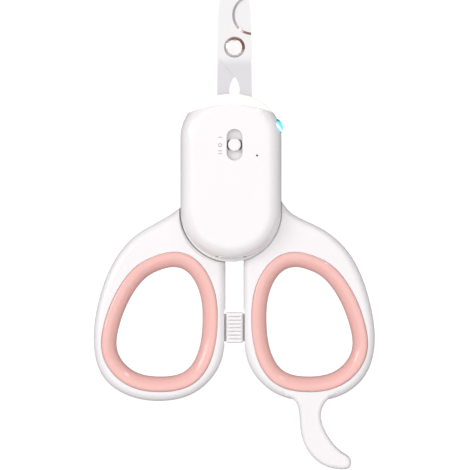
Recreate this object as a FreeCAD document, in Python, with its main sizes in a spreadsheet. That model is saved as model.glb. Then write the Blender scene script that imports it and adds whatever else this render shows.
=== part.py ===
import FreeCAD, Part
import math
import os

import Sketcher
from FreeCAD import Placement, Rotation, Vector

# Scissor nail clipper for pets: two handles with soft finger rings, two notched blades
# crossing at a rivet, and a lit housing that is fixed to the right handle.
# The clipper lies on its back on z = 0, with +Z out of its front face and +Y towards the
# blade tips. The origin is on the rear cover's flat face, on the line of the blades.

doc = FreeCAD.newDocument("NailClipper")

# ---------------------------------------------------------------- driving dimensions, mm
SIZES = {
    # housing
    "housing_width": 28.2,
    "housing_length": 47.0,
    "housing_shift": 0.98,
    "crown_radius": 20.0,
    "shoulder_radius": 12.0,
    "shell_wall": 1.8,
    "front_rounding": 4.2,
    "back_rounding": 1.2,
    "cover_step": 0.8,
    "back_plate": 2.0,
    "arm_room": 5.0,
    "frame_plate": 2.4,
    "front_depth": 7.0,
    "lip_depth": 0.5,
    "lip_thick": 0.8,
    "fit_gap": 0.1,
    "wall_start_x": 5.6,
    "wall_end_y": -2.4,
    "lens_radius": 30.0,
    "lens_drop": 2.9,
    # screws and their posts
    "screw_radius": 0.95,
    "screw_head_radius": 1.8,
    "screw_head_depth": 1.2,
    "screw_gap": 0.05,
    "post_radius": 2.0,
    "post_clearance": 0.15,
    # switch
    "switch_y": 9.2,
    "knob_radius": 1.8,
    "knob_proud": 0.5,
    "knob_rounding": 0.45,
    "knob_travel": 2.0,
    "knob_gap": 0.4,
    "slot_end_room": 0.6,
    "shutter_thick": 0.5,
    "shutter_lap": 0.4,
    "shutter_room": 0.5,
    "shutter_gap": 0.2,
    "switch_width": 4.0,
    "switch_length": 9.4,
    "switch_drop": 0.7,
    "lever_half": 0.6,
    "lever_reach": 0.4,
    "lever_room": 0.9,
    "lever_gap": 0.05,
    "pinhole_radius": 0.3,
    "pinhole_x": 6.3,
    "pinhole_y": 6.2,
    # electronics
    "board_thick": 0.8,
    "board_end_drop": 4.1,
    "battery_width": 17.0,
    "battery_length": 14.8,
    "battery_thick": 3.3,
    "battery_rounding": 0.6,
    "battery_top_y": -0.5,
    "pad_thick": 0.2,
    "usb_width": 8.94,
    "usb_depth": 3.2,
    "usb_length": 6.5,
    "uv_angle": 16.0,
    "uv_radius": 2.0,
    "uv_proud": 0.8,
    "uv_height": 12.6,
    # blades
    "pivot_y": 36.7,
    "blade_thick": 1.8,
    "blade_gap": 0.05,
    "blade_tip_y": 56.8,
    "blade_half_width": 4.9,
    "tang_back": 2.6,
    "tang_inner_x": 3.3,
    "tang_width": 1.8,
    "tang_end_y": -4.0,
    "tang_stud_radius": 0.7,
    "notch_x": 4.95,
    "notch_y": 45.7,
    "notch_radius": 4.9,
    "bevel_width": 0.7,
    "bevel_depth": 0.3,
    "dish_radius": 2.95,
    "dish_depth": 0.6,
    "rivet_head_radius": 2.05,
    "rivet_radius": 1.5,
    "rivet_dome": 0.3,
    "pivot_clearance": 0.06,
    "washer_radius": 3.2,
    "washer_thick": 0.25,
    # handles and rings
    "handle_back": 0.4,
    "handle_thick": 9.4,
    "handle_rounding": 2.2,
    "handle_gap": 5.1,
    "neck_back": 2.2,
    "neck_thick": 4.6,
    "recess_gap": 0.35,
    "ledge_drop": 0.8,
    "ledge_shift": 1.4,
    "ledge_inset": 1.0,
    "tail_rounding": 1.1,
    "tail_root_y": -59.0,
    "ring_thick": 10.2,
    "ring_band": 4.2,
    "ring_inner_rounding": 3.0,
    "ring_outer_rounding": 0.8,
    "ring_gap": 0.04,
    # lock between the handles
    "lock_y": -41.9,
    "lock_width": 4.6,
    "lock_length": 8.6,
    "lock_thick": 7.0,
    "lock_travel": 4.0,
    "lock_rounding": 0.3,
    "lock_recess": 0.35,
    "lock_recess_room": 0.5,
    "lock_tongue": 1.0,
    "lock_tongue_length": 7.8,
    "lock_tongue_thick": 2.4,
    "lock_gap": 0.3,
    "rib_pitch": 1.04,
    "rib_height": 0.8,
    "rib_margin": 0.4,
    # opening spring
    "spring_y": 10.5,
    "spring_radius": 1.85,
    "spring_wire": 0.7,
    "spring_pitch": 0.85,
    "spring_leg": 10.0,
}

sheet = doc.addObject("Spreadsheet::Sheet", "Dims")
for row, (alias, value) in enumerate(SIZES.items(), start=1):
    sheet.set(f"A{row}", alias)
    sheet.set(f"B{row}", str(value))
    sheet.setAlias(f"B{row}", alias)
doc.recompute()


class Size:
    """A length in mm that carries both its value and the sheet expression it follows."""

    def __init__(self, value, text):
        self.value = float(value)
        self.text = text

    @staticmethod
    def of(other):
        return other if isinstance(other, Size) else Size(other, repr(float(other)))

    def _join(self, other, sign, value):
        return Size(value, f"({self.text} {sign} {Size.of(other).text})")

    def __add__(self, other):
        return self._join(other, "+", self.value + Size.of(other).value)

    def __sub__(self, other):
        return self._join(other, "-", self.value - Size.of(other).value)

    def __mul__(self, other):
        return self._join(other, "*", self.value * Size.of(other).value)

    def __truediv__(self, other):
        return self._join(other, "/", self.value / Size.of(other).value)

    def __neg__(self):
        return self * -1.0


def dim(alias):
    """The sheet's cell of that name as a Size."""
    return Size(SIZES[alias], f"Dims.{alias}")


# heights of the layers, from the table up
FRAME_BACK = dim("back_plate") + dim("arm_room")
FRAME_FRONT = FRAME_BACK + dim("frame_plate")
HOUSING_FRONT = FRAME_FRONT + dim("front_depth")
BOARD_BACK = FRAME_FRONT + dim("lip_depth")
BOARD_FRONT = BOARD_BACK + dim("board_thick")
CEILING = HOUSING_FRONT - dim("shell_wall")
SHUTTER_FRONT = CEILING + dim("shutter_room") - dim("shutter_gap")
SLOT_WIDTH = (dim("knob_radius") + dim("knob_gap")) * 2
SLOT_LENGTH = (dim("knob_radius") + dim("knob_travel") + dim("slot_end_room")) * 2
SHUTTER_WIDTH = SLOT_WIDTH + dim("shutter_lap") * 2
SHUTTER_LENGTH = SLOT_LENGTH + (dim("knob_travel") + dim("shutter_lap")) * 2
BOARD_END_Y = dim("housing_length") / 2 - dim("board_end_drop")
REAR_BLADE_FRONT = dim("tang_back") + dim("blade_thick")
FRONT_BLADE_BACK = REAR_BLADE_FRONT + dim("blade_gap")
FRONT_BLADE_FRONT = FRONT_BLADE_BACK + dim("blade_thick")
NECK_FRONT = dim("neck_back") + dim("neck_thick")
HANDLE_FRONT = dim("handle_back") + dim("handle_thick")
LOCK_MIDDLE = dim("handle_back") + dim("handle_thick") / 2
SWITCH_FRONT = CEILING - dim("switch_drop")
HOUSING_X = -dim("housing_shift")

# screw places (x, y): right shoulder, through the right arm, and two in the middle gap
SCREWS = [(8.8, 11.5), (8.0, -12.0), (0.0, -3.5), (0.0, -19.2)]
NECK_SCREW = SCREWS[1]
# heights along Y of the two studs through each blade's tang
TANG_STUDS = (0.0, 9.0)

OVERCUT = 2.0
ORIGIN = Size(0, "0")


# ------------------------------------------------------------------ building blocks
def new_body(label):
    """An empty body that will hold one piece."""
    body = doc.addObject("PartDesign::Body", label)
    body.Label = label
    return body


def plane_of(body, role):
    return next(item for item in body.Origin.OriginFeatures if item.Role == role)


def add_sketch(body, height, role="XY_Plane"):
    """A sketch on one of the body's origin planes, raised along the plane's normal."""
    sketch = body.newObject("Sketcher::SketchObject", "Sketch")
    sketch.AttachmentSupport = (plane_of(body, role), [""])
    sketch.MapMode = "FlatFace"
    height = Size.of(height)
    sketch.AttachmentOffset = Placement(Vector(0, 0, height.value), Rotation())
    sketch.setExpression("AttachmentOffset.Base.z", height.text)
    return sketch


def hold(sketch, kind, refs, size):
    """One dimension of the sketch, tied to the sheet."""
    size = Size.of(size)
    index = sketch.addConstraint(Sketcher.Constraint(kind, *refs, size.value))
    sketch.setExpression(f"Constraints[{index}]", size.text)


def hold_point(sketch, shape, corner, x, y):
    hold(sketch, "DistanceX", (-1, 1, shape, corner), x)
    hold(sketch, "DistanceY", (-1, 1, shape, corner), y)


def circle(sketch, x, y, radius):
    """A circle whose centre and radius follow the sheet."""
    x, y, radius = Size.of(x), Size.of(y), Size.of(radius)
    curve = Part.Circle(Vector(x.value, y.value, 0), Vector(0, 0, 1), radius.value)
    index = sketch.addGeometry(curve, False)
    hold(sketch, "Radius", (index,), radius)
    hold_point(sketch, index, 3, x, y)


def join_ends(sketch, indices):
    """Joins each curve's end to the start of the next one round a closed outline."""
    for here, following in zip(indices, indices[1:] + indices[:1]):
        sketch.addConstraint(Sketcher.Constraint("Coincident", here, 2, following, 1))


def rectangle(sketch, x0, y0, x1, y1):
    """An upright rectangle from its low corner to its high corner."""
    x0, y0, x1, y1 = (Size.of(value) for value in (x0, y0, x1, y1))
    corners = [(x0, y0), (x1, y0), (x1, y1), (x0, y1)]
    points = [Vector(x.value, y.value, 0) for x, y in corners]
    indices = []
    for start, end in zip(points, points[1:] + points[:1]):
        indices.append(sketch.addGeometry(Part.LineSegment(start, end), False))
    join_ends(sketch, indices)
    for index, way in zip(indices, ("Horizontal", "Vertical") * 2):
        sketch.addConstraint(Sketcher.Constraint(way, index))
    hold_point(sketch, indices[0], 1, x0, y0)
    hold_point(sketch, indices[2], 1, x1, y1)


def arc(x, y, radius, start, end):
    """An arc of a circle from one angle to the other, in radians."""
    return Part.ArcOfCircle(Part.Circle(Vector(x, y, 0), Vector(0, 0, 1), radius), start, end)


def line(start, end):
    return Part.LineSegment(Vector(*start, 0), Vector(*end, 0))


def arc_on_side(side, x, y, radius, start, end):
    """An arc drawn for the right side of the clipper, mirrored when side is -1."""
    if side > 0:
        return arc(x, y, radius, start, end)
    return arc(-x, y, radius, math.pi - end, math.pi - start)


def smooth(points):
    """A smooth open curve through the points."""
    curve = Part.BSplineCurve()
    curve.interpolate(Points=[Vector(*point, 0) for point in points])
    return curve


def closed_curve(points):
    """A smooth closed curve through the points."""
    curve = Part.BSplineCurve()
    curve.interpolate(Points=[Vector(*point, 0) for point in points], PeriodicFlag=True)
    return curve


def outline(sketch, curves):
    """A closed outline of curves that run head to tail."""
    for curve in curves:
        sketch.addGeometry(curve, False)


def stadium(sketch, x, y, width, length):
    """A slot outline that is long in Y, with half-round ends."""
    x, y, width, length = (Size.of(value) for value in (x, y, width, length))
    radius = width / 2
    reach = length / 2 - radius
    cx, cy, r, d = x.value, y.value, radius.value, reach.value
    upper = sketch.addGeometry(arc(cx, cy + d, r, 0, math.pi), False)
    left = sketch.addGeometry(line((cx - r, cy + d), (cx - r, cy - d)), False)
    lower = sketch.addGeometry(arc(cx, cy - d, r, math.pi, 2 * math.pi), False)
    right = sketch.addGeometry(line((cx + r, cy - d), (cx + r, cy + d)), False)
    join_ends(sketch, [upper, left, lower, right])
    hold(sketch, "Radius", (upper,), radius)
    hold(sketch, "Radius", (lower,), radius)
    hold_point(sketch, upper, 3, x, y + reach)
    hold_point(sketch, lower, 3, x, y - reach)


def pill(sketch, inset=0, step=0):
    """The housing's outline, drawn in by inset all round; step shortens its lower end."""
    inset, step = Size.of(inset), Size.of(step)
    half = dim("housing_width") / 2 - inset
    crown = dim("crown_radius") - inset
    shoulder = dim("shoulder_radius") - inset
    crown_y = dim("housing_length") / 2 - dim("crown_radius")
    low_y = dim("housing_width") / 2 - dim("housing_length") / 2 + step
    side = dim("housing_width") / 2 - dim("shoulder_radius")
    rise = math.sqrt((crown.value - shoulder.value) ** 2 - side.value**2)
    turn = math.atan2(rise, side.value)
    shoulder_y = crown_y.value + rise
    x = HOUSING_X.value
    left_x, right_x = x - half.value, x + half.value
    curves = [
        arc(x + side.value, shoulder_y, shoulder.value, 0, turn),
        arc(x, crown_y.value, crown.value, turn, math.pi - turn),
        arc(x - side.value, shoulder_y, shoulder.value, math.pi - turn, math.pi),
        line((left_x, shoulder_y), (left_x, low_y.value)),
        arc(x, low_y.value, half.value, math.pi, 2 * math.pi),
        line((right_x, low_y.value), (right_x, shoulder_y)),
    ]
    indices = [sketch.addGeometry(curve, False) for curve in curves]
    join_ends(sketch, indices)
    hold(sketch, "Radius", (indices[1],), crown)
    hold(sketch, "Radius", (indices[4],), half)
    hold_point(sketch, indices[1], 3, HOUSING_X, crown_y)
    hold_point(sketch, indices[4], 3, HOUSING_X, low_y)


def pad(body, sketch, length):
    """Raises the sketch along its normal."""
    feature = body.newObject("PartDesign::Pad", "Pad")
    feature.Profile = sketch
    length = Size.of(length)
    feature.Length = length.value
    feature.setExpression("Length", length.text)
    body.Tip = feature
    doc.recompute()
    return feature


def pocket(body, sketch, depth):
    """Cuts the sketch against its normal, and checks that it took something away."""
    before = body.Shape.Volume
    feature = body.newObject("PartDesign::Pocket", "Pocket")
    feature.Profile = sketch
    depth = Size.of(depth)
    feature.Length = depth.value
    feature.setExpression("Length", depth.text)
    body.Tip = feature
    doc.recompute()
    if not feature.Shape.isValid() or feature.Shape.Volume > before - 1e-6:
        raise RuntimeError(f"a pocket of {body.Label} cut nothing")
    return feature


def revolve(body, sketch, kind="PartDesign::Revolution"):
    """Turns the sketch a full circle about its own vertical axis."""
    feature = body.newObject(kind, "Turned")
    feature.Profile = sketch
    feature.ReferenceAxis = (sketch, ["V_Axis"])
    feature.Angle = 360.0
    body.Tip = feature
    doc.recompute()
    return feature


def edges_at(shape, height, accept=None):
    """Names of the edges that lie level at a height."""
    names = []
    for number, edge in enumerate(shape.Edges, start=1):
        box = edge.BoundBox
        level = abs(box.ZMin - height) < 1e-4 and abs(box.ZMax - height) < 1e-4
        if level and (accept is None or accept(edge)):
            names.append(f"Edge{number}")
    return names


def fillet(body, height, radius, accept=None):
    """Rounds the level edges at a height."""
    radius = Size.of(radius)
    base = body.Tip
    names = edges_at(base.Shape, Size.of(height).value, accept)
    feature = body.newObject("PartDesign::Fillet", "Fillet")
    feature.Base = (base, names)
    feature.Radius = radius.value
    feature.setExpression("Radius", radius.text)
    body.Tip = feature
    doc.recompute()
    if not names or not feature.Shape.isValid():
        raise RuntimeError(f"a fillet of {body.Label} failed at z {height.value}")
    return feature


def cut_tool(body, kind, place, **sizes):
    """Cuts a PartDesign primitive out of the body at a placement."""
    before = body.Shape.Volume
    feature = body.newObject(kind, "Cutter")
    feature.AttachmentSupport = (plane_of(body, "XY_Plane"), [""])
    feature.MapMode = "FlatFace"
    feature.AttachmentOffset = place
    for name, size in sizes.items():
        size = Size.of(size)
        setattr(feature, name, size.value)
        feature.setExpression(name, size.text)
    body.Tip = feature
    doc.recompute()
    if not feature.Shape.isValid() or feature.Shape.Volume > before - 1e-6:
        raise RuntimeError(f"a cutter of {body.Label} cut nothing")
    return feature


# ------------------------------------------------------------------ housing
def lens_edge_points():
    """Centre height and reach of the arc where the light lens meets the front cover."""
    centre_y = SIZES["housing_length"] / 2 - SIZES["lens_drop"] - SIZES["lens_radius"]
    reach = SIZES["housing_width"] / 2 + 1.5
    side_y = centre_y + math.sqrt(SIZES["lens_radius"] ** 2 - reach**2)
    return centre_y, reach, side_y


def lens_side(sketch, keep_lens):
    """The area on one side of the lens edge: the side that is cut away."""
    centre_y, reach, side_y = lens_edge_points()
    x = HOUSING_X.value
    turn = math.atan2(side_y - centre_y, reach)
    far_y = SIZES["housing_length"]
    y = -far_y if keep_lens else far_y
    outline(
        sketch,
        [
            arc(x, centre_y, SIZES["lens_radius"], turn, math.pi - turn),
            line((x - reach, side_y), (x - reach, y)),
            line((x - reach, y), (x + reach, y)),
            line((x + reach, y), (x + reach, side_y)),
        ],
    )


def front_shell(label):
    """The rounded front half of the housing with its hollow, before it is divided."""
    body = new_body(label)
    sketch = add_sketch(body, FRAME_FRONT)
    pill(sketch, 0, dim("cover_step"))
    pad(body, sketch, dim("front_depth"))
    fillet(body, HOUSING_FRONT, dim("front_rounding"))
    sketch = add_sketch(body, CEILING)
    pill(sketch, dim("shell_wall"), dim("cover_step"))
    pocket(body, sketch, dim("front_depth") - dim("shell_wall"))
    fillet(body, CEILING, dim("front_rounding") - dim("shell_wall"))
    return body


def uv_place(reach):
    """A placement on the shoulder's outward normal, reach mm from the shoulder's centre."""
    side = SIZES["housing_width"] / 2 - SIZES["shoulder_radius"]
    drop = SIZES["crown_radius"] - SIZES["shoulder_radius"]
    centre_x = HOUSING_X.value + side
    crown_y = SIZES["housing_length"] / 2 - SIZES["crown_radius"]
    centre_y = crown_y + math.sqrt(drop**2 - side**2)
    angle = math.radians(SIZES["uv_angle"])
    out = Vector(math.cos(angle), math.sin(angle), 0)
    base = Vector(centre_x, centre_y, SIZES["uv_height"]) + out * reach
    return Placement(base, Rotation(Vector(0, 0, 1), out))


def cut_uv_hole(body):
    """Round hole through the cover's shoulder for the small window."""
    cut_tool(
        body,
        "PartDesign::SubtractiveCylinder",
        uv_place(SIZES["shoulder_radius"] - SIZES["shell_wall"] - OVERCUT),
        Radius=dim("uv_radius") + dim("fit_gap") / 2,
        Height=dim("shell_wall") + 2 * OVERCUT,
    )


def make_front_cover():
    """Glossy white front cover with the switch slot, pinhole and ports."""
    body = front_shell("front_cover")
    sketch = add_sketch(body, HOUSING_FRONT + OVERCUT)
    lens_side(sketch, keep_lens=False)
    pocket(body, sketch, dim("front_depth") + 2 * OVERCUT)
    sketch = add_sketch(body, HOUSING_FRONT)
    stadium(sketch, 0, dim("switch_y"), SLOT_WIDTH, SLOT_LENGTH)
    pocket(body, sketch, dim("shell_wall") + OVERCUT)
    sketch = add_sketch(body, CEILING + dim("shutter_room"))
    room_width = SHUTTER_WIDTH + dim("knob_gap") * 2
    room_length = SHUTTER_LENGTH + (dim("knob_travel") + dim("knob_gap")) * 2
    stadium(sketch, 0, dim("switch_y"), room_width, room_length)
    pocket(body, sketch, dim("shutter_room") + OVERCUT)
    sketch = add_sketch(body, HOUSING_FRONT + OVERCUT)
    circle(sketch, dim("pinhole_x"), dim("pinhole_y"), dim("pinhole_radius"))
    pocket(body, sketch, dim("shell_wall") + 2 * OVERCUT)
    cut_uv_hole(body)
    sketch = add_sketch(body, dim("housing_length") / 2 + OVERCUT, "XZ_Plane")
    usb_outline(sketch, dim("fit_gap"))
    pocket(body, sketch, dim("shell_wall") + dim("cover_step") + 2 * OVERCUT)
    return body


def usb_outline(sketch, grow):
    """The charging socket's rounded mouth, seen from the lower end of the housing."""
    width = SIZES["usb_width"] + 2 * Size.of(grow).value
    depth = SIZES["usb_depth"] + 2 * Size.of(grow).value
    x = HOUSING_X.value
    z = BOARD_FRONT.value + SIZES["usb_depth"] / 2
    radius = depth / 2
    reach = width / 2 - radius
    outline(
        sketch,
        [
            arc(x + reach, z, radius, -math.pi / 2, math.pi / 2),
            line((x + reach, z + radius), (x - reach, z + radius)),
            arc(x - reach, z, radius, math.pi / 2, 3 * math.pi / 2),
            line((x - reach, z - radius), (x + reach, z - radius)),
        ],
    )


def make_light_lens():
    """Frosted crescent that closes the housing's blade end in front of the lamps."""
    body = front_shell("light_lens")
    sketch = add_sketch(body, HOUSING_FRONT + OVERCUT)
    lens_side(sketch, keep_lens=True)
    pocket(body, sketch, dim("front_depth") + 2 * OVERCUT)
    return body


def make_middle_frame():
    """Floor of the electronics room, with the screw posts and the spring's peg below it."""
    body = new_body("middle_frame")
    sketch = add_sketch(body, FRAME_BACK)
    pill(sketch)
    pad(body, sketch, dim("frame_plate"))
    lip = dim("shell_wall") + dim("fit_gap")
    sketch = add_sketch(body, FRAME_FRONT)
    pill(sketch, lip, dim("cover_step"))
    pill(sketch, lip + dim("lip_thick"), dim("cover_step"))
    pad(body, sketch, dim("lip_depth"))
    sketch = add_sketch(body, dim("back_plate"))
    for x, y in SCREWS:
        circle(sketch, x, y, dim("post_radius"))
    pad(body, sketch, dim("arm_room"))
    sketch = add_sketch(body, dim("back_plate"))
    peg = dim("spring_radius") - dim("spring_wire") / 2 - dim("fit_gap")
    circle(sketch, 0, dim("spring_y"), peg)
    pad(body, sketch, dim("arm_room"))
    sketch = add_sketch(body, FRAME_FRONT)
    for x, y in SCREWS:
        circle(sketch, x, y, dim("screw_radius") + dim("screw_gap"))
    pocket(body, sketch, dim("frame_plate") + dim("arm_room") + OVERCUT)
    return body


def make_rear_cover():
    """Flat back of the housing, with a side wall only where no arm moves."""
    body = new_body("rear_cover")
    sketch = add_sketch(body, ORIGIN)
    pill(sketch)
    pad(body, sketch, dim("back_plate"))
    fillet(body, ORIGIN, dim("back_rounding"))
    sketch = add_sketch(body, dim("back_plate"))
    pill(sketch)
    pill(sketch, dim("shell_wall"))
    pad(body, sketch, dim("arm_room"))
    far = dim("housing_length")
    start_x = dim("wall_start_x")
    end_y = dim("wall_end_y")
    sketch = add_sketch(body, FRAME_BACK)
    corners = [
        (-far.value, -far.value),
        (far.value, -far.value),
        (far.value, end_y.value),
        (start_x.value, end_y.value),
        (start_x.value, far.value),
        (-far.value, far.value),
    ]
    outline(sketch, [line(a, b) for a, b in zip(corners, corners[1:] + corners[:1])])
    pocket(body, sketch, dim("arm_room"))
    sketch = add_sketch(body, FRAME_BACK)
    for x, y in SCREWS:
        circle(sketch, x, y, dim("screw_radius") + dim("screw_gap"))
    pocket(body, sketch, FRAME_BACK + OVERCUT)
    sketch = add_sketch(body, dim("screw_head_depth"))
    for x, y in SCREWS:
        circle(sketch, x, y, dim("screw_head_radius") + dim("fit_gap"))
    pocket(body, sketch, dim("screw_head_depth") + OVERCUT)
    return body


def make_cover_screws():
    """Pan-head screws with a cross recess, from the back into the middle frame."""
    screws = []
    head_low = 0.3
    for number, (x, y) in enumerate(SCREWS, start=1):
        body = new_body(f"screw_{number}")
        sketch = add_sketch(body, head_low)
        circle(sketch, x, y, dim("screw_head_radius"))
        pad(body, sketch, dim("screw_head_depth") - head_low)
        fillet(body, head_low, 0.35)
        sketch = add_sketch(body, dim("screw_head_depth"))
        circle(sketch, x, y, dim("screw_radius"))
        pad(body, sketch, FRAME_FRONT - dim("screw_head_depth") - 0.2)
        for half_x, half_y in ((1.1, 0.2), (0.2, 1.1)):
            sketch = add_sketch(body, head_low + 0.55)
            rectangle(sketch, x - half_x, y - half_y, x + half_x, y + half_y)
            pocket(body, sketch, 0.55 + OVERCUT)
        screws.append(body)
    return group("cover_screws", screws)


def group(label, pieces):
    """Several separate solids that share one node."""
    compound = doc.addObject("Part::Compound", label)
    compound.Label = label
    compound.Links = pieces
    doc.recompute()
    return compound


def make_uv_lens():
    """Round window with a domed face on the right shoulder."""
    body = new_body("uv_lens")
    inner = SIZES["shell_wall"] + SIZES["fit_gap"]
    proud = SIZES["uv_proud"]
    radius = SIZES["uv_radius"]
    sketch = add_sketch(body, 0, "XZ_Plane")
    dome = (radius**2 + proud**2) / (2 * proud)
    turn = math.asin(radius / dome)
    outline(
        sketch,
        [
            line((0, -inner), (radius, -inner)),
            line((radius, -inner), (radius, 0)),
            arc(0, proud - dome, dome, math.pi / 2 - turn, math.pi / 2),
            line((0, proud), (0, -inner)),
        ],
    )
    revolve(body, sketch)
    body.Placement = uv_place(SIZES["shoulder_radius"])
    return body


def make_uv_led():
    """Round lamp behind the window, with its flange."""
    body = new_body("uv_led")
    sketch = add_sketch(body, 0)
    circle(sketch, 0, 0, 1.5)
    pad(body, sketch, 3.4)
    fillet(body, Size.of(3.4), 1.2)
    sketch = add_sketch(body, 0)
    circle(sketch, 0, 0, 1.8)
    pad(body, sketch, 0.6)
    body.Placement = uv_place(SIZES["shoulder_radius"] - SIZES["shell_wall"] - 0.5 - 3.6)
    return body


# ------------------------------------------------------------------ switch and electronics
def make_switch_knob():
    """Round knob on the shutter plate that closes the slot from inside at every position."""
    body = new_body("switch_knob")
    switch_y = dim("switch_y")
    knob_front = HOUSING_FRONT + dim("knob_proud")
    sketch = add_sketch(body, SHUTTER_FRONT - dim("shutter_thick"))
    stadium(sketch, 0, switch_y, SHUTTER_WIDTH, SHUTTER_LENGTH)
    pad(body, sketch, dim("shutter_thick"))
    sketch = add_sketch(body, SHUTTER_FRONT)
    circle(sketch, 0, switch_y, dim("knob_radius"))
    pad(body, sketch, knob_front - SHUTTER_FRONT)
    fillet(body, knob_front, dim("knob_rounding"))
    sketch = add_sketch(body, SHUTTER_FRONT + dim("lever_reach") + dim("lever_gap"))
    socket = dim("lever_half") + dim("lever_gap")
    rectangle(sketch, -socket, switch_y - socket, socket, switch_y + socket)
    pocket(body, sketch, dim("shutter_thick") + dim("lever_reach") + OVERCUT)
    return body


def make_slide_switch():
    """Metal-cased slide switch on the board, with the slot that its lever runs in."""
    body = new_body("slide_switch")
    switch_y = dim("switch_y")
    sketch = add_sketch(body, BOARD_FRONT)
    half_x, half_y = dim("switch_width") / 2, dim("switch_length") / 2
    rectangle(sketch, -half_x, switch_y - half_y, half_x, switch_y + half_y)
    pad(body, sketch, SWITCH_FRONT - BOARD_FRONT)
    sketch = add_sketch(body, SWITCH_FRONT)
    slot_half = dim("lever_half") + dim("shutter_gap")
    reach = slot_half + dim("knob_travel")
    rectangle(sketch, -slot_half, switch_y - reach, slot_half, switch_y + reach)
    pocket(body, sketch, dim("lever_room"))
    return body


def make_switch_lever():
    """The slide switch's own lever, carried inside the knob's stem."""
    body = new_body("switch_lever")
    switch_y = dim("switch_y")
    half = dim("lever_half")
    back = SWITCH_FRONT - dim("lever_room") + dim("lever_gap")
    sketch = add_sketch(body, back)
    rectangle(sketch, -half, switch_y - half, half, switch_y + half)
    pad(body, sketch, SHUTTER_FRONT + dim("lever_reach") - back)
    return body


def make_circuit_board():
    """Board that rests on the frame's lip and stops short of the light lens."""
    body = new_body("circuit_board")
    sketch = add_sketch(body, BOARD_BACK)
    pill(sketch, dim("shell_wall") + 2 * SIZES["fit_gap"], dim("cover_step"))
    pad(body, sketch, dim("board_thick"))
    sketch = add_sketch(body, BOARD_FRONT)
    far = dim("housing_width")
    rectangle(sketch, -far, BOARD_END_Y, far, dim("housing_length"))
    pocket(body, sketch, dim("board_thick"))
    return body


def make_battery_pad():
    """Double-sided pad under the cell."""
    return block("battery_pad", BOARD_FRONT, dim("pad_thick"), 1.0)


def make_battery():
    """Flat rechargeable cell with rounded sides."""
    body = block("battery", BOARD_FRONT + dim("pad_thick"), dim("battery_thick"), 0)
    front = BOARD_FRONT + dim("pad_thick") + dim("battery_thick")
    fillet(body, front, dim("battery_rounding"))
    return body


def block(label, back, thick, inset):
    """A flat block over the battery's place, drawn in by inset."""
    body = new_body(label)
    half = dim("battery_width") / 2 - inset
    top = dim("battery_top_y") - inset
    low = dim("battery_top_y") + inset - dim("battery_length")
    sketch = add_sketch(body, back)
    rectangle(sketch, HOUSING_X - half, low, HOUSING_X + half, top)
    pad(body, sketch, thick)
    return body


def make_usb_socket():
    """Charging socket: a rounded metal shell with a tongue in its mouth."""
    body = new_body("usb_socket")
    mouth_y = dim("housing_length") / 2 - dim("cover_step") - 0.5
    sketch = add_sketch(body, mouth_y - dim("usb_length"), "XZ_Plane")
    usb_outline(sketch, 0)
    pad(body, sketch, dim("usb_length"))
    sketch = add_sketch(body, mouth_y, "XZ_Plane")
    usb_outline(sketch, -0.33)
    z = BOARD_FRONT + dim("usb_depth") / 2
    rectangle(sketch, HOUSING_X - 3.3, z - 0.35, HOUSING_X + 3.3, z + 0.35)
    pocket(body, sketch, dim("usb_length") - 0.9)
    return body


def make_white_leds():
    """Small lamps along the board's end, behind the light lens."""
    lamps = []
    for number, shift in enumerate((-5.5, 0.0, 5.5), start=1):
        body = new_body(f"white_led_{number}")
        sketch = add_sketch(body, BOARD_FRONT)
        x = HOUSING_X + shift
        y = BOARD_END_Y
        rectangle(sketch, x - 1.5, y - 1.3, x + 1.5, y - 0.1)
        pad(body, sketch, 1.4)
        lamps.append(body)
    return group("white_leds", lamps)


def make_charge_led():
    """Indicator lamp under the pinhole."""
    body = new_body("charge_led")
    x, y = dim("pinhole_x"), dim("pinhole_y")
    sketch = add_sketch(body, BOARD_FRONT)
    rectangle(sketch, x - 0.8, y - 0.4, x + 0.8, y + 0.4)
    pad(body, sketch, 0.6)
    return body


def make_light_pipe():
    """Clear pin that brings the indicator's light up to the pinhole."""
    body = new_body("light_pipe")
    x, y = dim("pinhole_x"), dim("pinhole_y")
    back = BOARD_FRONT + 0.7
    sketch = add_sketch(body, back)
    circle(sketch, x, y, 0.9)
    pad(body, sketch, CEILING - back)
    sketch = add_sketch(body, CEILING)
    circle(sketch, x, y, dim("pinhole_radius") - 0.03)
    pad(body, sketch, dim("shell_wall") - 0.15)
    return body


# ------------------------------------------------------------------ handles and rings
# Outer edge of the soft ring of the right handle, anticlockwise from its top.
RING_POINTS = [
    (20.9, -21.35),
    (10.8, -22.9),
    (5.6, -31.5),
    (4.75, -40.3),
    (5.9, -49.0),
    (11.05, -57.3),
    (20.9, -59.9),
    (30.8, -57.5),
    (36.9, -49.6),
    (36.4, -40.3),
    (33.6, -32.9),
    (29.0, -26.1),
]

# Outer edge of each handle from the lock, round the loop and up the arm to the tang.
RING_CENTRE = {side: Vector(side * 20.86, -40.3, 0) for side in (-1, 1)}
LOOP_FOOT_Y = -45.2
ARM_ROOT = (10.6, -1.5)
ARM_BEND = (7.6, 6.5)
ARM_TIP = (5.75, 18.0)
RIGHT_EDGE = [
    (2.8, -47.0),
    (3.7, -51.2),
    (5.9, -55.4),
    (12.4, -60.75),
    (20.9, -62.45),
    (29.6, -61.0),
    (36.4, -55.6),
    (39.25, -46.5),
    (38.3, -36.5),
    (35.8, -28.0),
    (31.6, -20.4),
    (26.6, -15.6),
    (20.4, -12.2),
    (15.6, -9.5),
    (13.3, -6.6),
]
LEFT_EDGE = [
    (2.8, -47.0),
    (3.7, -51.2),
    (5.9, -55.4),
    (12.4, -60.75),
    (20.9, -62.45),
    (29.6, -61.0),
    (36.6, -55.9),
    (39.4, -46.5),
    (38.6, -37.0),
    (36.0, -28.0),
    (32.1, -20.8),
    (27.4, -15.9),
    (21.0, -12.1),
    (15.3, -8.3),
]

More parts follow.
